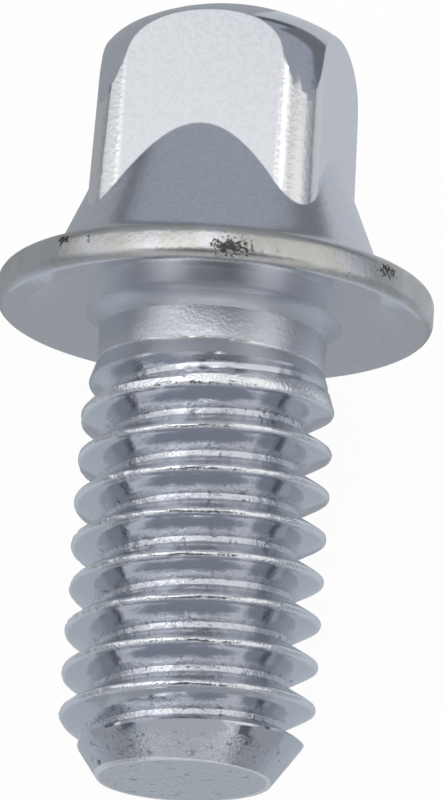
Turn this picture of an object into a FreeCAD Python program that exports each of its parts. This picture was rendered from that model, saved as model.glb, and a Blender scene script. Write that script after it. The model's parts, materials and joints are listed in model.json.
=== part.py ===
import FreeCAD, Part
import math
import os

from FreeCAD import Rotation, Vector

# Drum key screw: a square-headed tension screw with a round flange, in one cold-formed piece.
# It is built upright, with its thread's axis on Z and the flange's bearing face at height 0,
# and is then laid down as it comes to rest: on the flange's rim and the thread's lower end.
# All lengths are in millimetres and all angles in degrees.

# Square head
across_flats = 5.3           # at the height where the skirt first meets the flats
corner_r = 0.85
head_draft = 1.0             # each flat leans in by this much towards the top
head_turn = 14.0             # turn of the square about its axis
head_top = 7.4

# Head, skirt and flange share an axis beside the thread's. The screw comes to rest with the side
# that stands out most on top.
head_off_axis = 0.25

# Domed end of the head: a shallow dome, a rounder shoulder and a leaning side
dome_r = 5.0
shoulder_r = 1.4
shoulder_start = 30.0        # angle from the axis where the dome turns into the shoulder
side_lean = 10.0             # lean of the trimmed corners below the shoulder

# Skirt: the cone that runs from the flats down to the flange
skirt_top = 3.9
skirt_lean = 22.8
skirt_fillet_r = 0.8

# Flange
flange_d = 10.0
flange_t = 0.85
rim_top_r = 0.28
rim_low_r = 0.24             # its round ends in the flat bearing face

# Shank
shank_l = 10.8
neck_d = 5.22
neck_l = 1.1
neck_fillet_r = 0.32
run_up_l = 0.9               # from the neck's diameter to the thread's full one

# Thread, right-handed
thread_d = 5.8
pitch = 1.0
thread_depth = 0.65
flank_angle = 60.0
root_width = 0.13
thread_start = 1.94          # depth below the bearing face where the groove has its full depth
run_out_turns = 0.75         # over which the groove rises out of the shank
run_out_rise = 0.7

# Point
point_d = 3.9
point_lean = 35.0

# How far a form reaches into its neighbour, so that the two join
bite = 0.4
# How far a cutting form stands clear of what it cuts
clear = 0.3
# The seam of the threaded bar is turned away from the ends of its groove
seam_turn = 37.0
# How closely the thread's points are taken when its lean at rest is worked out
rest_tolerance = 0.01

# Derived sizes
neck_r = neck_d / 2
thread_r = thread_d / 2
flange_r = flange_d / 2
bearing_r = flange_r - rim_low_r
point_r = point_d / 2
root_r = thread_r - thread_depth
point_l = (thread_r - point_r) / math.tan(math.radians(point_lean))
skirt_slope = math.tan(math.radians(skirt_lean))
draft_slope = math.tan(math.radians(head_draft))
head_place = FreeCAD.Placement(Vector(0, -head_off_axis, 0), Rotation())


def at(r, z):
    """A point of a turned outline, r from the axis at height z."""
    return Vector(r, 0, z)


def on_arc(centre, radius, angle):
    """The point of an arc at an angle counted from straight outwards towards the head's end."""
    a = math.radians(angle)
    return Vector(centre.x + radius * math.cos(a), 0, centre.z + radius * math.sin(a))


def line(start, end):
    return Part.LineSegment(start, end).toShape()


def arc(centre, radius, start, end):
    middle = on_arc(centre, radius, (start + end) / 2)
    return Part.Arc(on_arc(centre, radius, start), middle, on_arc(centre, radius, end)).toShape()


def turned(edges):
    """The solid turned about the axis from a closed outline."""
    return Part.Face(Part.Wire(edges)).revolve(Vector(0, 0, 0), Vector(0, 0, 1), 360)


def flat_distance(z):
    """Distance from the axis to a flat of the square at height z."""
    return across_flats / 2 + (skirt_top - z) * draft_slope


def square_bar(low, high):
    """The tapered square bar that the four flats belong to, with rounded corners."""
    wide, narrow = flat_distance(low), flat_distance(high)
    bar = Part.makeWedge(-wide, low, -wide, -narrow, -narrow, wide, high, wide, narrow, narrow)
    bar.rotate(Vector(0, 0, 0), Vector(1, 0, 0), 90)
    corners = [e for e in bar.Edges if e.BoundBox.ZLength > high - low - clear]
    return bar.makeFillet(corner_r, corners)


def dome_form(low):
    """The turned form that rounds the head's end over: dome, shoulder and leaning side."""
    dome_centre = at(0, head_top - dome_r)
    shoulder_centre = on_arc(dome_centre, dome_r - shoulder_r, 90 - shoulder_start)
    side_top = on_arc(shoulder_centre, shoulder_r, side_lean)
    side_foot = at(side_top.x + (side_top.z - low) * math.tan(math.radians(side_lean)), low)
    return turned([
        line(at(0, low), side_foot),
        line(side_foot, side_top),
        arc(shoulder_centre, shoulder_r, side_lean, 90 - shoulder_start),
        arc(dome_centre, dome_r, 90 - shoulder_start, 90),
        line(at(0, head_top), at(0, low)),
    ])


def make_head():
    foot = flange_t - bite
    head = square_bar(foot, head_top + clear).common(dome_form(foot))
    head.rotate(Vector(0, 0, 0), Vector(0, 0, 1), -head_turn)
    return head


def make_skirt():
    """The cone at the foot of the square, with a hollow fillet down onto the flange."""
    foot = flange_t - bite
    top = skirt_top + bite
    fillet_sweep = 90 - skirt_lean
    cone_at_flange = across_flats / 2 + (skirt_top - flange_t) * skirt_slope
    fillet_reach = skirt_fillet_r * math.tan(math.radians(fillet_sweep / 2))
    centre = at(cone_at_flange + fillet_reach, flange_t + skirt_fillet_r)
    cone_start = on_arc(centre, skirt_fillet_r, 180 + skirt_lean)
    cone_end = at(across_flats / 2 - bite * skirt_slope, top)
    return turned([
        line(at(0, foot), at(centre.x, foot)),
        line(at(centre.x, foot), at(centre.x, flange_t)),
        arc(centre, skirt_fillet_r, 270, 180 + skirt_lean),
        line(cone_start, cone_end),
        line(cone_end, at(0, top)),
        line(at(0, top), at(0, foot)),
    ])


def make_flange():
    """The round flange, with a round under its rim and one on top."""
    low = at(bearing_r, rim_low_r)
    high = at(flange_r - rim_top_r, flange_t - rim_top_r)
    return turned([
        line(at(0, 0), at(bearing_r, 0)),
        arc(low, rim_low_r, -90, 0),
        line(at(flange_r, rim_low_r), at(flange_r, high.z)),
        arc(high, rim_top_r, 0, 90),
        line(at(high.x, flange_t), at(0, flange_t)),
        line(at(0, flange_t), at(0, 0)),
    ])


def make_upper():
    """Head, skirt and flange on their own axis, joined by the neck's fillet to the plain neck."""
    upper = make_head().fuse([make_skirt(), make_flange()]).removeSplitter()
    upper.Placement = head_place.multiply(upper.Placement)
    neck = Part.makeCylinder(neck_r, neck_l + bite, Vector(0, 0, -neck_l))
    joined = upper.fuse(neck)
    corner = [e for e in joined.Edges if lies_round_neck(e)]
    return joined.makeFillet(neck_fillet_r, corner)


def lies_round_neck(edge):
    """True for the edge where the neck meets the bearing face."""
    box = edge.BoundBox
    flat = box.ZLength < neck_r / 2 and abs(box.Center.z) < neck_fillet_r
    return flat and box.DiagonalLength > neck_r and max(box.XMax, box.YMax) < bearing_r / 2 + neck_r / 2


def make_blank():
    """The thread's blank: it widens from the neck to the full diameter and ends in the point."""
    full = -(neck_l + run_up_l)
    point_start = -(shank_l - point_l)
    return turned([
        line(at(0, -neck_l), at(neck_r, -neck_l)),
        line(at(neck_r, -neck_l), at(thread_r, full)),
        line(at(thread_r, full), at(thread_r, point_start)),
        line(at(thread_r, point_start), at(point_r, -shank_l)),
        line(at(point_r, -shank_l), at(0, -shank_l)),
        line(at(0, -shank_l), at(0, -neck_l)),
    ])


def groove_section(z):
    """The thread's groove across, a V with a narrow floor, centred at height z."""
    mouth_r = thread_r + clear
    half_floor = root_width / 2
    half_mouth = half_floor + (mouth_r - root_r) * math.tan(math.radians(flank_angle / 2))
    corners = [
        at(root_r, z - half_floor),
        at(mouth_r, z - half_mouth),
        at(mouth_r, z + half_mouth),
        at(root_r, z + half_floor),
    ]
    return Part.makePolygon(corners + corners[:1])


def groove_path(turns):
    """A level helix of some turns up to the thread's start, then the run-out, which widens."""
    level = Part.makeHelix(pitch, turns * pitch, root_r)
    level.translate(Vector(0, 0, -thread_start - turns * pitch))
    height = run_out_turns * pitch
    run_out = Part.makeHelix(pitch, height, root_r, math.degrees(math.atan2(run_out_rise, height)))
    run_out.rotate(Vector(0, 0, 0), Vector(0, 0, 1), 360 * turns)
    run_out.translate(Vector(0, 0, -thread_start))
    return Part.Wire(level.Edges + run_out.Edges)


def make_thread():
    """The blank with the groove, which runs up from below the point and then out of the metal."""
    turns = math.ceil((shank_l - thread_start) / pitch) + 1
    foot = -thread_start - turns * pitch
    groove = groove_path(turns).makePipeShell([groove_section(foot)], True, True)
    groove.rotate(Vector(0, 0, 0), Vector(0, 0, 1), 180)
    bar = Part.makeCylinder(thread_r, clear - foot, Vector(0, 0, foot))
    bar.rotate(Vector(0, 0, 0), Vector(0, 0, 1), seam_turn)
    return bar.cut(groove).common(make_blank())


def rest_angle(thread):
    """The lean at which a thread that starts level first touches the ground, head end raised.

    The ground line is tangent to the round under the flange's rim. Each point of the thread would
    touch it at some lean, and the smallest one is the lean at rest.
    """
    leans = []
    for p in thread.tessellate(rest_tolerance)[0]:
        along, across = rim_low_r - p.z, bearing_r - head_off_axis - p.y
        reach = math.hypot(along, across)
        leans.append(math.atan2(across, along) + math.asin(rim_low_r / reach))
    return math.degrees(min(leans))


def lay_down(screw, lean):
    """Lay the screw down, head end raised, with its box standing centred on the origin."""
    rest = Rotation(Vector(1, 0, 0), lean - 90)
    screw.Placement = FreeCAD.Placement(Vector(0, 0, 0), rest)
    box = screw.optimalBoundingBox(False)
    shift = Vector(-box.Center.x, -box.Center.y, -box.ZMin)
    screw.translate(shift)
    return FreeCAD.Placement(shift, rest)


thread = make_thread()
screw = make_upper().fuse(thread).Solids[0]
lean = rest_angle(thread)
place = lay_down(screw, lean)

os.makedirs("parts", exist_ok=True)
screw.exportStep("parts/screw.step")

box = screw.optimalBoundingBox(False)
print(f"lean at rest {lean:.2f}, valid {screw.isValid()}, faces {len(screw.Faces)}, volume {screw.Volume:.2f}")
print(f"box {box.XLength:.2f} x {box.YLength:.2f} x {box.ZLength:.2f}")
upper_place = place.multiply(head_place)
for name, holder, point, axis in (
    ("bearing face", upper_place, at(-(neck_r + bearing_r) / 2, 0), Vector(0, 0, -1)),
    ("thread", place, at(0, -(neck_l + shank_l) / 2), Vector(0, 0, -1)),
    ("square", upper_place, at(0, head_top), Vector(0, 0, 1)),
):
    p, a = holder.multVec(point), holder.Rotation.multVec(axis)
    print(f"{name} at {p.x:.4f} {p.y:.4f} {p.z:.4f} facing {a.x:.6f} {a.y:.6f} {a.z:.6f}")
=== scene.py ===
# %% [markdown]
# A drum key screw, from its frame to its finish.
# The screw is one cold-formed and plated piece: a square head that a drum key turns, a skirt and a
# flange that press on the rim of a drum, a plain neck and a coarse right-handed thread.
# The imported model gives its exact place, lying on a floor as it comes to rest. This lesson models
# the same screw upright, in millimetres, because round numbers are easier to think in. The last
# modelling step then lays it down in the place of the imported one, in metres.

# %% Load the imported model
import json
import math
import bmesh
import bpy
from mathutils import Matrix, Vector, noise


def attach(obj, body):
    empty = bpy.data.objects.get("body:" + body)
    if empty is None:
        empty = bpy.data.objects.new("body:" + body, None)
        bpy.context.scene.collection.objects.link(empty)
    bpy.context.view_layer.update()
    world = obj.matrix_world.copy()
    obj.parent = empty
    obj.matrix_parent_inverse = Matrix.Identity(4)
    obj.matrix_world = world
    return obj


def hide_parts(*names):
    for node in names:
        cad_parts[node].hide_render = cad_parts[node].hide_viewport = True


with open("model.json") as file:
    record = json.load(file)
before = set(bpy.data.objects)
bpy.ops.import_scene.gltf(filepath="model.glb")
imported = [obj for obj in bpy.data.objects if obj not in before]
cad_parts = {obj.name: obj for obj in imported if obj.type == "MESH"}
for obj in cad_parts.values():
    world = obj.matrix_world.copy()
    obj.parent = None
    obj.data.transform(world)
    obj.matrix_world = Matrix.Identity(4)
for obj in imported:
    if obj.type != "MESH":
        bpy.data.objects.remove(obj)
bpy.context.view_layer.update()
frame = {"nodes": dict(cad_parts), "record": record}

mounts = {mount["name"]: mount for mount in frame["record"]["mounts"]}
print("nodes:", list(frame["nodes"]), "mounts:", list(mounts))

# %% [markdown]
# The main sizes come first, as a maker would note them: lengths in millimetres, angles in degrees.
# Heights count from the flange's bearing face, up towards the head and down along the thread.

# %% Sizes of the screw
across_flats = 5.3
corner_r = 0.85
head_draft = 1.0
head_turn = 14.0
head_top = 7.4
head_off_axis = 0.25
dome_r = 5.0
shoulder_r = 1.4
shoulder_start = 30.0
side_lean = 10.0
skirt_top = 3.9
skirt_lean = 22.8
skirt_fillet_r = 0.8
flange_r = 5.0
flange_t = 0.85
bearing_r = 4.76
rim_top_r = 0.28
neck_r = 2.61
neck_l = 1.1
neck_fillet_r = 0.32
run_up_l = 0.9
thread_r = 2.9
pitch = 1.0
thread_depth = 0.65
flank_angle = 60.0
root_half_width = 0.065
thread_start = 1.94
run_out_turns = 0.75
run_out_rise = 0.7
shank_l = 10.8
point_r = 1.95
point_lean = 35.0
seam = 0.002
root_r = thread_r - thread_depth
print(f"the screw is {head_top + shank_l:.1f} mm long, its thread {2 * thread_r:.1f} mm across")

# %% [markdown]
# Most of the screw is turned, so the first helper makes turned forms as on a lathe. One vertex is
# pushed along half of the outline with the extrude operator, and spin takes that chain of edges
# round the axis. Merging by distance then closes the seam and the poles, and the normals are
# recalculated after that, because spin can leave a shape inside out.

# %% Helpers for turned forms
def at(r, z):
    """A point of an outline, r from the axis at height z."""
    return Vector((r, 0, z))


def on_arc(centre, radius, angle):
    """The point of an arc at an angle counted from straight outwards towards the head's end."""
    a = math.radians(angle)
    return centre + Vector((radius * math.cos(a), 0, radius * math.sin(a)))


def arc(centre, radius, start, end, spans):
    """The points of an arc, both ends included."""
    step = (end - start) / spans
    return [on_arc(centre, radius, start + i * step) for i in range(spans + 1)]


def alone(piece):
    """Make this piece the only selected and the active one."""
    bpy.ops.object.select_all(action="DESELECT")
    piece.select_set(True)
    bpy.context.view_layer.objects.active = piece


def chain(name, points):
    """A chain of edges drawn by extruding one vertex from point to point."""
    bpy.ops.object.select_all(action="DESELECT")
    bpy.ops.mesh.primitive_plane_add(size=1, location=(0, 0, 0))
    piece = bpy.context.object
    piece.name = name
    bpy.ops.object.mode_set(mode="EDIT")
    bpy.ops.mesh.merge(type="CENTER")
    bpy.ops.transform.translate(value=points[0])
    for start, end in zip(points, points[1:]):
        bpy.ops.mesh.extrude_vertices_move(TRANSFORM_OT_translate={"value": end - start})
    return piece


def tidy_mesh():
    """Merge what lies together and turn all faces outwards, in edit mode."""
    bpy.ops.mesh.select_all(action="SELECT")
    bpy.ops.mesh.remove_doubles(threshold=seam)
    bpy.ops.mesh.normals_make_consistent(inside=False)


def turned(name, points, steps):
    """The closed form that a chain of edges makes when it is spun about the axis."""
    piece = chain(name, points)
    bpy.ops.mesh.select_all(action="SELECT")
    bpy.ops.mesh.spin(steps=steps, angle=math.tau, center=(0, 0, 0), axis=(0, 0, 1))
    tidy_mesh()
    bpy.ops.object.mode_set(mode="OBJECT")
    print(name, "has", len(piece.data.polygons), "faces")
    return piece


def combine(piece, other, operation):
    """Join, cut or intersect two closed pieces with the Boolean modifier, and apply it."""
    alone(piece)
    modifier = piece.modifiers.new(operation.lower(), "BOOLEAN")
    modifier.object = other
    modifier.operation = operation
    modifier.solver = "EXACT"
    bpy.ops.object.modifier_apply(modifier=modifier.name)
    bpy.data.objects.remove(other)
    print(piece.name, operation.lower(), "->", len(piece.data.polygons), "faces")


# %% [markdown]
# The square head starts as a cube. Scaling its top in gives the flats their draft, and the bevel
# operator rounds the four upright corners. The real head is trimmed to a dome after that, so the
# bar is intersected with a turned form: dome, round shoulder and a side that leans in. This gives
# the flats their arched tops without drawing the arches. The head starts inside the flange, so
# that the two overlap where they are joined later.

# %% Square head
head_steps = 240
corner_segments = 26
side_spans = 10
shoulder_spans = 16
dome_spans = 8
trimmed_off = 0.5
head_foot = flange_t / 2
dome_centre = at(0, head_top - dome_r)
shoulder_centre = on_arc(dome_centre, dome_r - shoulder_r, 90 - shoulder_start)
side_top = on_arc(shoulder_centre, shoulder_r, side_lean)
side_slope = math.tan(math.radians(side_lean))


def flat_distance(z):
    """Distance from the axis to a flat of the square at height z."""
    return across_flats / 2 + (skirt_top - z) * math.tan(math.radians(head_draft))


def square_bar(low, high):
    """The tapered square bar with its four rounded corners."""
    bpy.ops.object.select_all(action="DESELECT")
    bpy.ops.mesh.primitive_cube_add(size=1, location=(0, 0, (low + high) / 2))
    bar = bpy.context.object
    bar.name = "square_bar"
    bpy.ops.object.transform_apply(location=True, rotation=True, scale=True)
    bpy.ops.object.mode_set(mode="EDIT")
    width = 2 * flat_distance(low)
    bpy.ops.transform.resize(value=(width, width, high - low))
    bpy.ops.mesh.select_all(action="DESELECT")
    shape = bmesh.from_edit_mesh(bar.data)
    for face in shape.faces:
        facing_up = face.normal.z > 0.9
        face.select_set(facing_up)
    bmesh.update_edit_mesh(bar.data)
    taper = flat_distance(high) / flat_distance(low)
    bpy.ops.transform.resize(value=(taper, taper, 1))
    bpy.ops.mesh.select_all(action="DESELECT")
    bpy.ops.mesh.select_mode(type="EDGE")
    for edge in shape.edges:
        rise = abs(edge.verts[0].co.z - edge.verts[1].co.z)
        edge.select_set(rise > seam)
    bmesh.update_edit_mesh(bar.data)
    bpy.ops.mesh.bevel(offset=corner_r, segments=corner_segments, affect="EDGES", clamp_overlap=False)
    bpy.ops.mesh.select_mode(type="VERT")
    bpy.ops.object.mode_set(mode="OBJECT")
    return bar


def dome_outline(low):
    """The outline that the head is trimmed to: leaning side, round shoulder and shallow dome."""
    side_foot = at(side_top.x + (side_top.z - low) * side_slope, low)
    side = [side_foot.lerp(side_top, i / side_spans) for i in range(side_spans)]
    shoulder = arc(shoulder_centre, shoulder_r, side_lean, 90 - shoulder_start, shoulder_spans)
    dome = arc(dome_centre, dome_r, 90 - shoulder_start, 90, dome_spans)
    return [at(0, low)] + side + shoulder + dome[1:]


head = square_bar(head_foot, head_top + trimmed_off)
head.name = "head"
combine(head, turned("dome", dome_outline(head_foot), head_steps), "INTERSECT")
alone(head)
bpy.ops.object.mode_set(mode="EDIT")
bpy.ops.mesh.select_all(action="SELECT")
bpy.ops.transform.rotate(value=math.radians(head_turn), orient_axis="Z", center_override=(0, 0, 0))
bpy.ops.object.mode_set(mode="OBJECT")
lowest_turn = min(math.degrees(math.atan2(v.co.y, v.co.x)) for v in head.data.vertices)
print(f"head: {len(head.data.vertices)} points, first angle {lowest_turn:.1f} degrees")

# %% [markdown]
# The skirt is a cone that reaches up inside the square, so that its surface shows as an arch on
# each flat. Skirt, flange, rim and the fillet of the neck are one turned outline, which a union
# joins to the square. The disc that closes it below is deleted again, and leaves the ring of
# points that the shank is sewn to. Above that ring the whole form is moved over a little, because
# the head of the real screw was struck slightly out of line with its shank. The neck's fillet
# takes up the step.

# %% Skirt and flange, joined to the head
columns = 216
skirt_fillet_spans = 10
rim_spans = 7
neck_fillet_spans = 8
reach_inside = 0.4
skirt_slope = math.tan(math.radians(skirt_lean))


def flange_outline():
    """The outline from inside the head down the skirt, round the rim and in to the neck."""
    cone_at_flange = across_flats / 2 + (skirt_top - flange_t) * skirt_slope
    reach = skirt_fillet_r * math.tan(math.radians((90 - skirt_lean) / 2))
    fillet_centre = at(cone_at_flange + reach, flange_t + skirt_fillet_r)
    inner_top = at(across_flats / 2 - reach_inside * skirt_slope, skirt_top + reach_inside)
    rim_top = at(flange_r - rim_top_r, flange_t - rim_top_r)
    rim_low_r = flange_r - bearing_r
    rim_low = at(bearing_r, rim_low_r)
    neck_fillet = at(neck_r + neck_fillet_r, -neck_fillet_r)
    return (
        [at(0, inner_top.z), inner_top]
        + arc(fillet_centre, skirt_fillet_r, 180 + skirt_lean, 270, skirt_fillet_spans)
        + arc(rim_top, rim_top_r, 90, 0, rim_spans)
        + arc(rim_low, rim_low_r, 0, -90, rim_spans)
        + arc(neck_fillet, neck_fillet_r, 90, 180, neck_fillet_spans)
        + [at(0, -neck_fillet_r)]
    )


combine(head, turned("flange", flange_outline(), columns), "UNION")
alone(head)
bpy.ops.object.mode_set(mode="EDIT")
bpy.ops.mesh.select_all(action="DESELECT")
shape = bmesh.from_edit_mesh(head.data)
for face in shape.faces:
    face.select_set(max(v.co.z for v in face.verts) < seam - neck_fillet_r)
bmesh.update_edit_mesh(head.data)
bpy.ops.mesh.delete(type="FACE")
bpy.ops.object.mode_set(mode="OBJECT")
for v in head.data.vertices:
    share = min(1.0, max(0.0, 1 + v.co.z / neck_fillet_r))
    v.co.y -= share * head_off_axis
print("head and flange:", len(head.data.polygons), "faces")

# %% [markdown]
# The thread could be cut with a Boolean, but the Screw modifier gives cleaner faces. It takes one
# upright outline with a ridge for each turn and winds it once round the axis while it climbs by
# one pitch. The last column then lies exactly on the first one, a ridge further up, and merging
# closes it into a thread without end. The crests are a little rounded and the roots a little
# hollow, as rolling leaves them. Two more helpers describe the blank that a thread is rolled on,
# with its neck, its taper and its point, and how the groove runs out under the neck. The loop of
# the next cell limits the points with them.

# %% Thread
flank_slope = math.tan(math.radians(flank_angle / 2))
crest_half_width = pitch / 2 - root_half_width - thread_depth * flank_slope
root_at_right = -thread_start - pitch / 2
turns_up = 3
turns_down = math.ceil(shank_l / pitch) + 1
flank_spans = 6
crest_drop = 0.02
root_hollow = 0.005


def ridge(middle):
    """One turn of the thread's outline, from root to root, upwards: flank, crest and flank."""
    low_root = middle - pitch / 2
    high_root = low_root + pitch
    flank_l = thread_depth * flank_slope
    flank = []
    for i in range(1, flank_spans):
        share = i / flank_spans
        flank.append((root_r + thread_depth * share, root_half_width + flank_l * share))
    root = [at(root_r, low_root), at(root_r + root_hollow, low_root + root_half_width)]
    up = [at(r, low_root + dz) for r, dz in flank]
    crest = []
    for share in (-1, -0.5, 0, 0.5, 1):
        crest.append(at(thread_r - crest_drop * share ** 2, middle + crest_half_width * share))
    down = [at(r, high_root - dz) for r, dz in reversed(flank)]
    return root + up + crest + down + [at(root_r + root_hollow, high_root - root_half_width)]


def blank_radius(z):
    """The radius of the blank at a height: neck, run-up, full thread and point."""
    if z > -neck_l:
        return neck_r
    run_up = neck_r + (thread_r - neck_r) * (-neck_l - z) / run_up_l
    point = point_r + (z + shank_l) * math.tan(math.radians(point_lean))
    return min(thread_r, run_up, point)


def groove_rise(angle, z):
    """How far the groove next to a point has already risen out of the metal."""
    climb = pitch * angle / math.tau
    turn = round((z - climb - root_at_right) / pitch)
    groove_z = root_at_right + climb + turn * pitch
    past = groove_z + thread_start
    return max(0.0, past) * run_out_rise / (run_out_turns * pitch)


outline = []
for i in range(-turns_down, turns_up):
    outline += ridge(-thread_start + i * pitch)
shank = chain("shank", outline)
bpy.ops.object.mode_set(mode="OBJECT")
alone(shank)
winding = shank.modifiers.new("winding", "SCREW")
winding.axis = "Z"
winding.angle = math.tau
winding.screw_offset = pitch
winding.steps = columns
winding.render_steps = columns
bpy.ops.object.modifier_apply(modifier=winding.name)
bpy.ops.object.mode_set(mode="EDIT")
tidy_mesh()
bpy.ops.object.mode_set(mode="OBJECT")
print("shank:", len(shank.data.vertices), "points")

# %% [markdown]
# A rolled thread on a much handled screw is not perfect. Slow noise wears the crests by a few
# hundredths of a millimetre, more on the left than on the right, and finer noise roughens crest
# and root. The noise is read at each point's own place, so it gives the same result each run.
# The same loop gives the points the shape of the blank and ends them at the sheared lower end.

# %% Wear of the thread and the shape of the blank
slow_wave = 0.9
fine_wave = 5.5
crest_wear = 0.035
usual_wear = 0.35
fine_share = 0.6
more_on_left = 0.5
root_wear = 0.015
skin_flaw = 0.006
smooth_above = -0.5
end_lean = 1.5
end_worn = 0.05
end_level = end_worn - shank_l


def end_height(angle):
    """The height of the sheared lower end's edge, which leans a little."""
    return end_level + point_r * math.cos(angle) * math.tan(math.radians(end_lean))


for v in shank.data.vertices:
    x, y, z = v.co
    r = math.hypot(x, y)
    angle = math.atan2(y, x) % math.tau
    height = (r - root_r) / thread_depth
    slow = noise.noise(Vector((x, y, z)) * slow_wave)
    fine = noise.noise(Vector((x, y, z)) * fine_wave)
    sideways = 1 - more_on_left * math.cos(angle)
    r -= crest_wear * sideways * height ** 3 * max(0.0, usual_wear + slow + fine_share * fine)
    r += root_wear * (1 - height) * fine
    level = min(max(z, end_height(angle)), -neck_fillet_r)
    flaw = skin_flaw * abs(fine) if level < smooth_above else 0.0
    if level in (z, -neck_fillet_r):
        r = min(r + groove_rise(angle, z), blank_radius(level) - flaw)
    else:
        r = blank_radius(level)
    v.co = Vector((r * math.cos(angle), r * math.sin(angle), level))
lowest = min(v.co.z for v in shank.data.vertices)
print(len(shank.data.vertices), f"points shaped, the lowest at {lowest:.2f} mm")

# %% [markdown]
# The loop has also pressed all points past the two ends onto them, and merging by distance takes
# away the faces that this flattens. The lower ring is then filled. The upper one lies point on
# point on the ring that the flange left, so joining and merging sews them together.

# %% Sew the shank to the flange
alone(shank)
bpy.ops.object.mode_set(mode="EDIT")
tidy_mesh()
bpy.ops.mesh.select_all(action="DESELECT")
bpy.ops.mesh.select_mode(type="EDGE")
bpy.ops.mesh.select_non_manifold()
shape = bmesh.from_edit_mesh(shank.data)
for edge in shape.edges:
    if edge.verts[0].co.z > -neck_l:
        edge.select_set(False)
bmesh.update_edit_mesh(shank.data)
bpy.ops.mesh.edge_face_add()
bpy.ops.mesh.select_mode(type="VERT")
bpy.ops.object.mode_set(mode="OBJECT")
alone(head)
shank.select_set(True)
bpy.ops.object.join()
bpy.ops.object.mode_set(mode="EDIT")
tidy_mesh()
bpy.ops.mesh.select_all(action="DESELECT")
bpy.ops.mesh.select_mode(type="EDGE")
bpy.ops.mesh.select_non_manifold()
shape = bmesh.from_edit_mesh(head.data)
print("open edges left:", sum(edge.select for edge in shape.edges))
bpy.ops.mesh.select_mode(type="VERT")
bpy.ops.object.mode_set(mode="OBJECT")
screw = head
screw.name = "plated_screw"
screw.data.name = "plated_screw"

# %% [markdown]
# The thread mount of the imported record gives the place: a point on the thread's axis and the way
# the axis points. The screw is turned and moved there, shrunk to metres, and the transform is
# applied, so that the object itself stays at the origin and only its mesh has a place.
# Faces that meet at more than a small angle keep a sharp arris, and the rest is shaded smooth.
# The Weighted Normal modifier then lets the large flats set the shading, so that the narrow faces
# beside them don't pull it round. The arrises are softened later, in the head's plating.

# %% Lay the screw down in the frame
mm = 0.001
arris_angle = 16
flats_count_most = 60
thread_mount = mounts["thread"]
along = -Vector(thread_mount["axis"]).normalized()
right = Vector((1, 0, 0))
away = along.cross(right).normalized()
mount_depth = (neck_l + shank_l) / 2
bearing_point = Vector(thread_mount["pos_m"]) + along * mount_depth * mm
turn = Matrix((right, away, along)).transposed()
place = Matrix.Translation(bearing_point) @ turn.to_4x4() @ Matrix.Scale(mm, 4)
screw.matrix_world = place
alone(screw)
bpy.ops.object.transform_apply(location=True, rotation=True, scale=True)
bpy.ops.object.shade_smooth_by_angle(angle=math.radians(arris_angle))
weighted = screw.modifiers.new("even shading", "WEIGHTED_NORMAL")
weighted.mode = "FACE_AREA_WITH_ANGLE"
weighted.weight = flats_count_most
weighted.keep_sharp = True
bpy.ops.object.modifier_apply(modifier=weighted.name)
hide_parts("screw")
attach(screw, "root")
print("bearing point at", [round(c * 1000, 3) for c in bearing_point], "mm")

# %% [markdown]
# The finish is bright plating over steel, so nearly all of its look is reflection. What tells one
# area from another is how smooth it is: polished flats, a skirt with a soft haze, a rim rubbed
# warm by handling, and a thread whose roots glitter because their plating is coarse.
# A Mapping node turns the place of each point back into the upright millimetre frame of the
# lesson, so every pattern can be given by radius and height.

# %% Node helpers
upright = place.inverted()


def add(tree, kind, inputs=None, **settings):
    """A node with its settings and inputs. An input is a value or another node's output."""
    node = tree.nodes.new("ShaderNode" + kind)
    for name, value in settings.items():
        setattr(node, name, value)
    for key, value in (inputs or {}).items():
        if isinstance(value, bpy.types.NodeSocket):
            tree.links.new(value, node.inputs[key])
        else:
            node.inputs[key].default_value = value
    return node


def maths(tree, operation, *values, clamp=False):
    """One Math node. Its values are numbers or other nodes' outputs."""
    inputs = dict(enumerate(values))
    return add(tree, "Math", inputs, operation=operation, use_clamp=clamp).outputs[0]


def smooth_step(tree, value, low, high):
    """0 below low, 1 above high, and a smooth step between."""
    inputs = {"Value": value, "From Min": low, "From Max": high}
    return add(tree, "MapRange", inputs, interpolation_type="SMOOTHSTEP").outputs["Result"]


def blend_colours(tree, share, first, second):
    """The first colour where the share is 0, and the second where it is 1."""
    node = add(tree, "Mix", {0: share, 6: first, 7: second}, data_type="RGBA")
    return node.outputs[2]


def blend_values(tree, share, first, second):
    """The first value where the share is 0, and the second where it is 1."""
    return add(tree, "Mix", {0: share, 2: first, 3: second}, data_type="FLOAT").outputs[0]


def noise_pattern(tree, spot, scale, detail, roughness=0.5):
    """Noise with about 'scale' waves in a millimetre, and finer ones on them."""
    inputs = {"Vector": spot, "Scale": scale, "Detail": detail, "Roughness": roughness}
    return add(tree, "TexNoise", inputs).outputs[0]


def upright_place(tree):
    """Each point's place in the upright frame, in millimetres."""
    coordinates = add(tree, "TexCoord")
    shift, rotation, scale = upright.decompose()
    return add(tree, "Mapping", {
        "Vector": coordinates.outputs["Object"],
        "Location": shift,
        "Rotation": rotation.to_euler("XYZ"),
        "Scale": scale,
    }).outputs["Vector"]


print("one metre of the frame is", round(upright.to_scale().x), "units of the patterns")

# %% [markdown]
# Two effects are shared. The first one gives radius and height of a point. The second one is the
# fine unevenness of plating: a slow waviness and a fine grain, each with its own strength.

# %% Shared effects
def new_group(name, inputs, outputs):
    """An empty node group with named sockets, and its nodes for what goes in and out."""
    group = bpy.data.node_groups.new(name, "ShaderNodeTree")
    for socket, kind, value in inputs:
        made = group.interface.new_socket(name=socket, in_out="INPUT", socket_type=kind)
        if value is not None:
            made.default_value = value
    for socket, kind in outputs:
        group.interface.new_socket(name=socket, in_out="OUTPUT", socket_type=kind)
    return group, group.nodes.new("NodeGroupInput"), group.nodes.new("NodeGroupOutput")


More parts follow.
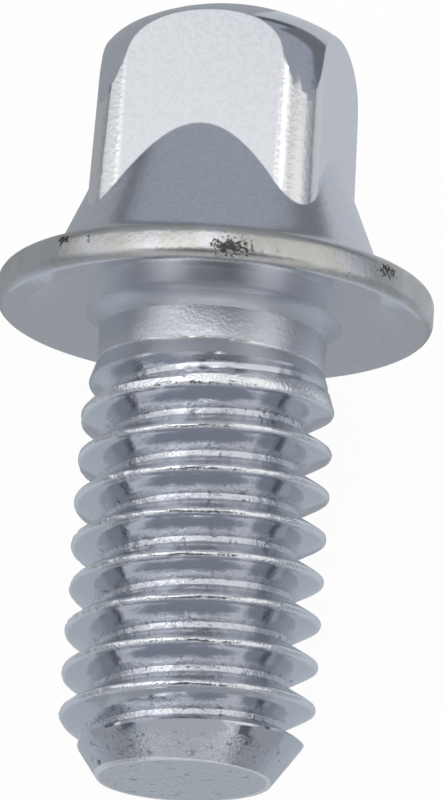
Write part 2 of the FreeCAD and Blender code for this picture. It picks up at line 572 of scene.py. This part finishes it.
def make_radius_group():
    group, given, result = new_group(
        "radius_and_height",
        [("Place", "NodeSocketVector", None)],
        [("Radius", "NodeSocketFloat"), ("Height", "NodeSocketFloat")],
    )
    parts = add(group, "SeparateXYZ", {0: given.outputs["Place"]})
    flat = add(group, "CombineXYZ", {0: parts.outputs[0], 1: parts.outputs[1]})
    length = add(group, "VectorMath", {0: flat.outputs[0]}, operation="LENGTH")
    group.links.new(length.outputs["Value"], result.inputs["Radius"])
    group.links.new(parts.outputs[2], result.inputs["Height"])
    return group


def make_grain_group():
    group, given, result = new_group(
        "plating_grain",
        [
            ("Place", "NodeSocketVector", None),
            ("Wave size", "NodeSocketFloat", 1.0),
            ("Grain size", "NodeSocketFloat", 0.05),
            ("Grain share", "NodeSocketFloat", 0.5),
        ],
        [("Height", "NodeSocketFloat"), ("Speckle", "NodeSocketFloat")],
    )
    wave_scale = maths(group, "DIVIDE", 1.0, given.outputs["Wave size"])
    grain_scale = maths(group, "DIVIDE", 1.0, given.outputs["Grain size"])
    wave = noise_pattern(group, given.outputs["Place"], wave_scale, 2.0)
    grain = noise_pattern(group, given.outputs["Place"], grain_scale, 3.0)
    height = blend_values(group, given.outputs["Grain share"], wave, grain)
    group.links.new(height, result.inputs["Height"])
    group.links.new(grain, result.inputs["Speckle"])
    return group


radius_group = make_radius_group()
grain_group = make_grain_group()


def place_group(tree, group, **inputs):
    """A shared effect in a material, with this material's own values."""
    node = tree.nodes.new("ShaderNodeGroup")
    node.node_tree = group
    for key, value in inputs.items():
        name = key.replace("_", " ")
        if isinstance(value, bpy.types.NodeSocket):
            tree.links.new(value, node.inputs[name])
        else:
            node.inputs[name].default_value = value
    return node


print("shared effects:", radius_group.name, grain_group.name)

# %% [markdown]
# The head shows five finishes on one plating. The flats are nearly a mirror, faintly mottled. The
# skirt has an even haze. The four upright corners are scuffed by the key, and their whiter colour
# is partly that scuffing and partly a painted highlight. The rim of the flange is rubbed down to a
# warmer, duller band, and in three places it is nicked. Each finish has a mask, made from the
# radius, the height or the sides of the square, so none needs a picture.

# %% Masks of the head
nicks = {
    "front": ((0.30, -5.2, 0.26), 0.85),
    "left": ((-3.45, -3.80, 0.62), 0.45),
    "right": ((3.75, -3.45, 0.50), 0.62),
}
nick_fall = 0.42
corner_edge = across_flats / 2 - corner_r
fillet_middle = 1.15
fillet_reach = 0.35


def new_material(name):
    """A material with a metallic shader and nothing else."""
    material = bpy.data.materials.new(name)
    material.use_nodes = True
    material.node_tree.nodes.clear()
    tree = material.node_tree
    shader = add(tree, "BsdfPrincipled", {"Metallic": 1.0})
    add(tree, "OutputMaterial", {"Surface": shader.outputs[0]})
    return material, tree, shader


def rim_mask(tree, radius, height):
    """1 on the rim of the flange and on the outer edge of its upper face."""
    outside = smooth_step(tree, radius, flange_r - 0.5, flange_r - 0.15)
    above = smooth_step(tree, height, 0.005, 0.04)
    return maths(tree, "MULTIPLY", outside, above)


def nick_mask(tree, spot, centre, size):
    """A cluster of small pits round a point of the rim, wider than it is high."""
    holes = noise_pattern(tree, spot, 10.0, 4.0, 0.75)
    offset = add(tree, "VectorMath", {0: spot, 1: centre}, operation="SUBTRACT").outputs[0]
    flattened = add(tree, "VectorMath", {0: offset, 1: (1, 1, 2)}, operation="MULTIPLY").outputs[0]
    gap = add(tree, "VectorMath", {0: flattened}, operation="LENGTH").outputs["Value"]
    depth = maths(tree, "MULTIPLY_ADD", gap, -nick_fall / size, holes)
    return smooth_step(tree, depth, 0.29, 0.40)


def corner_mask(tree, spot):
    """1 on the four upright corners of the square."""
    square_place = add(tree, "VectorRotate", {"Vector": spot, "Angle": math.radians(head_turn)})
    sides = add(tree, "VectorMath", {0: square_place.outputs[0]}, operation="ABSOLUTE")
    parts = add(tree, "SeparateXYZ", {0: sides.outputs[0]})
    nearer = maths(tree, "MINIMUM", parts.outputs[0], parts.outputs[1])
    return smooth_step(tree, nearer, corner_edge - 0.04, corner_edge + 0.10)


def upright_mask(tree, radius, height):
    """1 on the upright part of the head, within its leaning side and below its shoulder."""
    side_at_zero = side_top.x + side_top.z * side_slope
    within = maths(tree, "MULTIPLY_ADD", height, side_slope, radius)
    within = maths(tree, "LESS_THAN", within, side_at_zero - 0.02)
    middle = (side_top.z + flange_t) / 2
    return maths(tree, "MULTIPLY", within, maths(tree, "COMPARE", height, middle, side_top.z - middle))


def skirt_mask(tree, radius, height):
    """1 on the skirt, which lies on one cone, and on its fillet."""
    cone_at_zero = across_flats / 2 + skirt_top * skirt_slope
    cone = maths(tree, "MULTIPLY_ADD", height, skirt_slope, radius)
    on_cone = maths(tree, "LESS_THAN", cone, cone_at_zero + 0.01)
    fillet = maths(tree, "COMPARE", height, fillet_middle, fillet_reach)
    return maths(tree, "MAXIMUM", on_cone, fillet)


print("masks for", len(nicks), "nicks, the rim, the corners and the skirt")

# %% [markdown]
# The masks blend the colours and the roughness, one finish after another, with the pits last. The
# relief is a hundredth or two of a millimetre, too fine for the mesh, so it goes through a Bump
# node. A Bevel node gives that node its normal: it rounds the sharp arrises by a twentieth of a
# millimetre, in the reflections only. A bevel of the mesh would leave slivers where the arches run
# out to nothing.

# %% Head plating
plating_colour = (0.76, 0.77, 0.80, 1)
mottled_colour = (0.66, 0.67, 0.70, 1)
rubbed_colour = (0.66, 0.66, 0.67, 1)
warm_colour = (0.60, 0.585, 0.55, 1)
# The corners' whiter colour is partly key scuffing and partly a painted highlight.
scuff_and_highlight_colour = (0.88, 0.88, 0.87, 1)
pit_colour = (0.11, 0.105, 0.10, 1)
mirror_haze = 0.05
speckled_haze = 0.12
skirt_haze = 0.24
scuffed_haze = 0.26
rim_haze = 0.33
pit_haze = 0.6
rim_relief = 0.9
scuffed_relief = 0.8
skirt_relief = 0.25
slow_relief = 0.015
head_relief = 0.02
arris_radius = 0.05


def head_colour(tree, speckle, rim, worn_rim, scuff_and_highlight, rim_pits):
    """The colours of the head, laid over each other."""
    mottled = maths(tree, "MULTIPLY", smooth_step(tree, speckle, 0.42, 0.66), 0.5)
    colour = blend_colours(tree, mottled, plating_colour, mottled_colour)
    colour = blend_colours(tree, rim, colour, rubbed_colour)
    colour = blend_colours(tree, worn_rim, colour, warm_colour)
    # The corners get the whiter colour: partly scuffing, partly a painted highlight.
    colour = blend_colours(tree, scuff_and_highlight, colour, scuff_and_highlight_colour)
    return blend_colours(tree, rim_pits, colour, pit_colour)


def head_roughness(tree, speckle, rim, skirt, scuff_and_highlight, rim_pits):
    """The roughness of the head, laid over each other in the same way."""
    haze = maths(tree, "MULTIPLY_ADD", speckle, speckled_haze, mirror_haze)
    haze = blend_values(tree, skirt, haze, skirt_haze)
    haze = blend_values(tree, scuff_and_highlight, haze, scuffed_haze)
    haze = blend_values(tree, rim, haze, rim_haze)
    return blend_values(tree, rim_pits, haze, pit_haze)


def head_normal(tree, grain, rim, skirt, scuff_and_highlight, rim_pits):
    """The softened arrises with the grain and the pits on them."""
    rubbed = maths(tree, "MULTIPLY", rim, rim_relief)
    scratched = maths(tree, "MULTIPLY", scuff_and_highlight, scuffed_relief)
    hazed = maths(tree, "MULTIPLY", skirt, skirt_relief)
    coarse = maths(tree, "MAXIMUM", maths(tree, "MAXIMUM", rubbed, scratched), hazed)
    fine = maths(tree, "MULTIPLY", grain.outputs["Speckle"], coarse)
    waviness = maths(tree, "MULTIPLY_ADD", grain.outputs["Height"], slow_relief, fine)
    depth = maths(tree, "SUBTRACT", waviness, rim_pits)
    soft_arris = add(tree, "Bevel", {"Radius": arris_radius * mm}, samples=6).outputs[0]
    relief = {"Height": depth, "Strength": 0.5, "Distance": head_relief * mm, "Normal": soft_arris}
    return add(tree, "Bump", relief).outputs[0]


def head_plating():
    material, tree, shader = new_material("head_plating")
    spot = upright_place(tree)
    centred = add(tree, "VectorMath", {0: spot, 1: (0, head_off_axis, 0)}, operation="ADD").outputs[0]
    ring = place_group(tree, radius_group, Place=centred)
    radius = ring.outputs["Radius"]
    height = ring.outputs["Height"]
    grain = place_group(tree, grain_group, Place=spot, Wave_size=1.4, Grain_size=0.11, Grain_share=0.3)
    speckle = grain.outputs["Speckle"]
    rim = rim_mask(tree, radius, height)
    worn = smooth_step(tree, noise_pattern(tree, spot, 1.1, 4.0, 0.65), 0.40, 0.56)
    worn_rim = maths(tree, "MULTIPLY", rim, worn)
    pitted = smooth_step(tree, noise_pattern(tree, spot, 2.6, 6.0, 0.7), 0.66, 0.72)
    rim_pits = maths(tree, "MULTIPLY", pitted, rim)
    for centre, size in nicks.values():
        rim_pits = maths(tree, "MAXIMUM", rim_pits, nick_mask(tree, spot, centre, size))
    skirt = skirt_mask(tree, radius, height)
    above_skirt = maths(tree, "SUBTRACT", 1.0, skirt)
    # The corner mask carries the scuffing and a painted highlight.
    scuff_and_highlight = maths(tree, "MULTIPLY", corner_mask(tree, centred), upright_mask(tree, radius, height))
    scuff_and_highlight = maths(tree, "MULTIPLY", scuff_and_highlight, above_skirt)
    colour = head_colour(tree, speckle, rim, worn_rim, scuff_and_highlight, rim_pits)
    rough = head_roughness(tree, speckle, rim, skirt, scuff_and_highlight, rim_pits)
    normal = head_normal(tree, grain, rim, skirt, scuff_and_highlight, rim_pits)
    tree.links.new(colour, shader.inputs["Base Color"])
    tree.links.new(rough, shader.inputs["Roughness"])
    tree.links.new(normal, shader.inputs["Normal"])
    print(material.name, "has", len(tree.nodes), "nodes")
    return material


screw.data.materials.clear()
screw.data.materials.append(head_plating())

# %% [markdown]
# The plating of the shank is coarser. Its neck is satin with cloudy patches, and the thread's roots
# and crests carry a sharp grain that breaks the reflections into sparks, while the flanks stay
# smooth. Dark flecks are painted into the roots as shade, the crests are painted whiter, partly as
# rubbing and partly as a painted highlight, and two edges get a painted white glint: the foot of the
# neck and the edge of the lower end. Radius tells root from crest.

# %% Shank plating
shank_colour = (0.66, 0.68, 0.72, 1)
# Dark flecks in the thread's roots: painted shade.
painted_root_shade_colour = (0.16, 0.16, 0.17, 1)
# The crests are whiter partly from rubbing and partly as a painted highlight.
crest_rub_and_highlight_colour = (0.90, 0.91, 0.93, 1)
# The white of the neck's foot and of the lower end's edge is a painted glint.
painted_glint_colour = (0.97, 0.97, 0.96, 1)
edge_haze = 0.25
thread_top = -1.3
neck_fade_low = -1.75
neck_fade_high = -1.45
tip_edge_height = 0.22
satin_share = 0.35
flank_relief = 0.12
shank_relief = 0.04


def shank_plating():
    material, tree, shader = new_material("shank_plating")
    spot = upright_place(tree)
    ring = place_group(tree, radius_group, Place=spot)
    grain = place_group(tree, grain_group, Place=spot, Wave_size=0.5, Grain_size=0.07, Grain_share=0.7)
    radius = ring.outputs["Radius"]
    height = ring.outputs["Height"]
    low = maths(tree, "SUBTRACT", 1.0, smooth_step(tree, radius, root_r + 0.05, root_r + 0.22))
    high = smooth_step(tree, radius, thread_r - 0.12, thread_r - 0.03)
    threaded = maths(tree, "LESS_THAN", height, thread_top)
    coarse = maths(tree, "MULTIPLY", maths(tree, "ADD", low, high, clamp=True), threaded)
    flecks = smooth_step(tree, noise_pattern(tree, spot, 5.0, 5.0, 0.7), 0.56, 0.70)
    # Dark flecks painted into the roots as shade.
    painted_root_shade = maths(tree, "MULTIPLY", flecks, low)
    crest = maths(tree, "MULTIPLY", high, threaded)
    # Two thin rings get a painted white glint: the lower end's edge and the neck's foot.
    tip_edge = maths(tree, "COMPARE", radius, point_r, 0.06)
    at_tip = maths(tree, "LESS_THAN", height, tip_edge_height - shank_l)
    neck_edge = maths(tree, "COMPARE", height, -neck_l, 0.035)
    edges = maths(tree, "MAXIMUM", maths(tree, "MULTIPLY", tip_edge, at_tip), neck_edge)
    colour = blend_colours(tree, painted_root_shade, shank_colour, painted_root_shade_colour)
    # The crests take the whiter colour: partly rub, partly a painted highlight.
    colour = blend_colours(tree, crest, colour, crest_rub_and_highlight_colour)
    colour = blend_colours(tree, edges, colour, painted_glint_colour)
    tree.links.new(colour, shader.inputs["Base Color"])
    haze = maths(tree, "MULTIPLY_ADD", grain.outputs["Speckle"], 0.10, 0.07)
    on_neck = smooth_step(tree, height, neck_fade_low, neck_fade_high)
    neck_haze = maths(tree, "MULTIPLY_ADD", noise_pattern(tree, spot, 1.6, 4.0, 0.6), 0.32, 0.19)
    rough = blend_values(tree, on_neck, haze, neck_haze)
    tree.links.new(blend_values(tree, edges, rough, edge_haze), shader.inputs["Roughness"])
    satin = maths(tree, "MULTIPLY", on_neck, satin_share)
    strength = blend_values(tree, maths(tree, "MAXIMUM", coarse, satin), flank_relief, 1.0)
    relief = maths(tree, "MULTIPLY", grain.outputs["Height"], strength)
    bump = add(tree, "Bump", {"Height": relief, "Strength": 0.6, "Distance": shank_relief * mm})
    tree.links.new(bump.outputs[0], shader.inputs["Normal"])
    print(material.name, "has", len(tree.nodes), "nodes")
    return material


screw.data.materials.append(shank_plating())

# %% [markdown]
# Each face takes one of the two materials by its place: what lies under the flange and no wider
# than the neck's fillet is shank, and all the rest is head.

# %% Which faces are shank
shank_reach = neck_r + neck_fillet_r + 0.03
shank_below = 0.05
for face in screw.data.polygons:
    middle = upright @ face.center
    on_shank = middle.z < shank_below and math.hypot(middle.x, middle.y) < shank_reach
    face.material_index = 1 if on_shank else 0
print("materials:", [m.name for m in screw.data.materials])

# %% [markdown]
# The stage is a plain white floor. For the camera and for reflections it mostly glows, and only a
# small share of it is lit, so that it is as pale as the photograph's background and still keeps a
# trace of the screw's soft shadow. All other light meets a floor that is simply lit.

# %% Floor and world
floor_size = 0.6
floor_glow = 1.0
glowing_share = 0.95
floor_colour = (0.85, 0.85, 0.85, 1)
sky_colour = (0.97, 0.98, 1.0, 1)
sky_lighting = 1.0
sky_seen = 0.95


def seen_directly(tree):
    """1 for what the camera, a reflection or a refraction looks at."""
    path = add(tree, "LightPath")
    share = maths(tree, "MAXIMUM", path.outputs["Is Camera Ray"], path.outputs["Is Glossy Ray"])
    return maths(tree, "MAXIMUM", share, path.outputs["Is Transmission Ray"])


bpy.ops.object.select_all(action="DESELECT")
bpy.ops.mesh.primitive_plane_add(size=floor_size, location=(0, 0, 0))
floor = bpy.context.object
floor.name = "floor"
floor_material = bpy.data.materials.new("pale_floor")
floor_material.use_nodes = True
tree = floor_material.node_tree
tree.nodes.clear()
matt = add(tree, "BsdfDiffuse", {"Color": floor_colour})
glow = add(tree, "Emission", {"Color": (1, 1, 1, 1), "Strength": floor_glow})
share = maths(tree, "MULTIPLY", seen_directly(tree), glowing_share)
mixed = add(tree, "MixShader", {0: share, 1: matt.outputs[0], 2: glow.outputs[0]})
add(tree, "OutputMaterial", {"Surface": mixed.outputs[0]})
floor.data.materials.append(floor_material)

world = bpy.data.worlds.new("studio")
bpy.context.scene.world = world
world.use_nodes = True
tree = world.node_tree
tree.nodes.clear()
strength = blend_values(tree, seen_directly(tree), sky_lighting, sky_seen)
sky = add(tree, "Background", {"Color": sky_colour, "Strength": strength})
add(tree, "OutputWorld", {"Surface": sky.outputs[0]})
print("floor and world ready")

# %% [markdown]
# Bright metal looks white all over in an all white room. A photographer stands dark and grey
# cards round it, and the metal draws its shapes with them. Here each card is a bent strip that
# only reflections see. It is given by the direction in which it stands and how wide it is, and by
# the elevations of its lower and upper edge, all as angles seen from the screw. Seen from above,
# direction 0 is that of the head's end and 90 is the right. What would be below the horizon lies
# flat on the floor. Where two cards would overlap, the one of the higher layer covers the other:
# it lies above it on the floor, or stands nearer.

# %% Cards for the reflections
card_distance = 0.09
card_clearance = 0.00001
layer_step = 0.1


def card(name, direction, width, low, high, shade, layer=1):
    """A strip round the screw, from one elevation to another, that is seen in gloss only."""
    bpy.ops.object.select_all(action="DESELECT")
    bpy.ops.mesh.primitive_grid_add(x_subdivisions=24, y_subdivisions=8, size=2)
    strip = bpy.context.object
    strip.name = name
    nearer = layer_step * (layer - 1) if high > 0 else 0.0
    away = card_distance * (1 - nearer)
    for v in strip.data.vertices:
        turned_to = math.radians(direction + v.co.x * width / 2)
        elevation = math.radians(low + (high - low) * (v.co.y + 1) / 2)
        flat = away * math.cos(elevation)
        height = max(away * math.sin(elevation), layer * card_clearance)
        v.co = Vector((flat * math.sin(turned_to), flat * math.cos(turned_to), height))
    material = bpy.data.materials.new(name)
    material.use_nodes = True
    card_tree = material.node_tree
    card_tree.nodes.clear()
    light = add(card_tree, "Emission", {"Color": shade, "Strength": 1.0})
    add(card_tree, "OutputMaterial", {"Surface": light.outputs[0]})
    strip.data.materials.append(material)
    strip.visible_camera = False
    strip.visible_diffuse = False
    strip.visible_shadow = False


card("dark_edge", 0, 290, 0.5, 9, (0.09, 0.10, 0.115, 1))
card("grey_back", 4, 142, 9, 50, (0.35, 0.38, 0.43, 1))
card("upper_back", 0, 110, 50, 73, (0.36, 0.38, 0.42, 1))
card("lens_shade", 180, 120, 40, 76, (0.07, 0.075, 0.085, 1))
card("front_grey", 180, 64, 10, 38, (0.50, 0.52, 0.55, 1))
card("soft_top", 0, 360, 77, 89.9, (0.92, 0.92, 0.93, 1))
card("grey_right", 110, 70, 9, 26, (0.60, 0.63, 0.68, 1))
card("grey_left", 245, 70, 9, 26, (0.45, 0.48, 0.52, 1))
card("bright_right", 80, 50, 30, 72, (0.93, 0.93, 0.93, 1), layer=2)
card("shade_right", 40, 36, 0.5, 22, (0.17, 0.18, 0.20, 1), layer=2)
card("grey_low", 0, 360, 0.5, -89, (0.36, 0.38, 0.41, 1))
card("pale_right", 45, 80, -40, -85, (0.56, 0.59, 0.64, 1), layer=2)
card("pale_low_left", 232, 84, -82, -87.4, (0.48, 0.52, 0.57, 1), layer=2)
card("pale_low_right", 128, 84, -82, -87.4, (0.48, 0.52, 0.57, 1), layer=2)
card("pale_tip", 180, 40, -80, -85.5, (0.47, 0.50, 0.53, 1), layer=3)
print("cards stand", card_distance * 1000, "mm away")

# %% [markdown]
# One broad soft lamp from above and the left shapes the screw and gives the floor its shadow. A
# long narrow one nearly overhead makes the white line on a corner and the sparks in the thread.
# It shines straight down, so that it lies along the screw and not across it.

# %% Lamps
screw_middle = Vector((0, 0, 0.004))


def lamp(name, where, size, energy):
    """A square lamp at a place in metres that faces the screw."""
    bpy.ops.object.light_add(type="AREA", location=where)
    light = bpy.context.object
    light.name = name
    light.data.size = size
    light.data.energy = energy
    light.rotation_euler = (screw_middle - Vector(where)).to_track_quat("-Z", "Y").to_euler()
    return light


lamp("broad_lamp", (-0.20, -0.05, 0.36), 0.20, 0.11)
strip_lamp = lamp("spark_lamp", (-0.035, 0.03, 0.40), 0.008, 0.07)
strip_lamp.data.shape = "RECTANGLE"
strip_lamp.data.size_y = 0.2
strip_lamp.rotation_euler = (0, 0, 0)

# %% [markdown]
# The photograph was taken from below the flange, and from far away for the size of the screw. The
# camera keeps that view: its direction is given in the upright frame, and so is the point in the
# middle of the picture. The picture leans by a few degrees, so the camera rolls.

# %% Camera
view_rise = 16.09
view_roll = 3.95
picture_centre = Vector((0.28, 0, -1.78))
millimetres_high = 18.26
lens = 400.0
sensor = 36.0

rise = math.radians(view_rise)
roll = math.radians(view_roll)
looking = turn @ Vector((0, math.cos(rise), math.sin(rise)))
picture_up = turn @ Vector((0, -math.sin(rise), math.cos(rise)))
camera_right = math.cos(roll) * right + math.sin(roll) * picture_up
camera_up = -math.sin(roll) * right + math.cos(roll) * picture_up
distance = millimetres_high * mm * lens / sensor
bpy.ops.object.camera_add()
camera = bpy.context.object
camera.data.lens = lens
camera.data.sensor_width = sensor
camera.data.clip_start = 0.005
camera.data.clip_end = 5.0
axes = Matrix((camera_right, camera_up, -looking)).transposed().to_4x4()
camera.matrix_world = Matrix.Translation(place @ picture_centre - looking * distance) @ axes
bpy.context.scene.camera = camera
bpy.context.scene.view_settings.view_transform = "Standard"
print(f"camera {distance * 1000:.0f} mm away")

# %% [markdown]
# The last cell prints how many triangles the finished screw has.

# %% Finish
print("triangles:", sum(len(face.vertices) - 2 for face in screw.data.polygons))
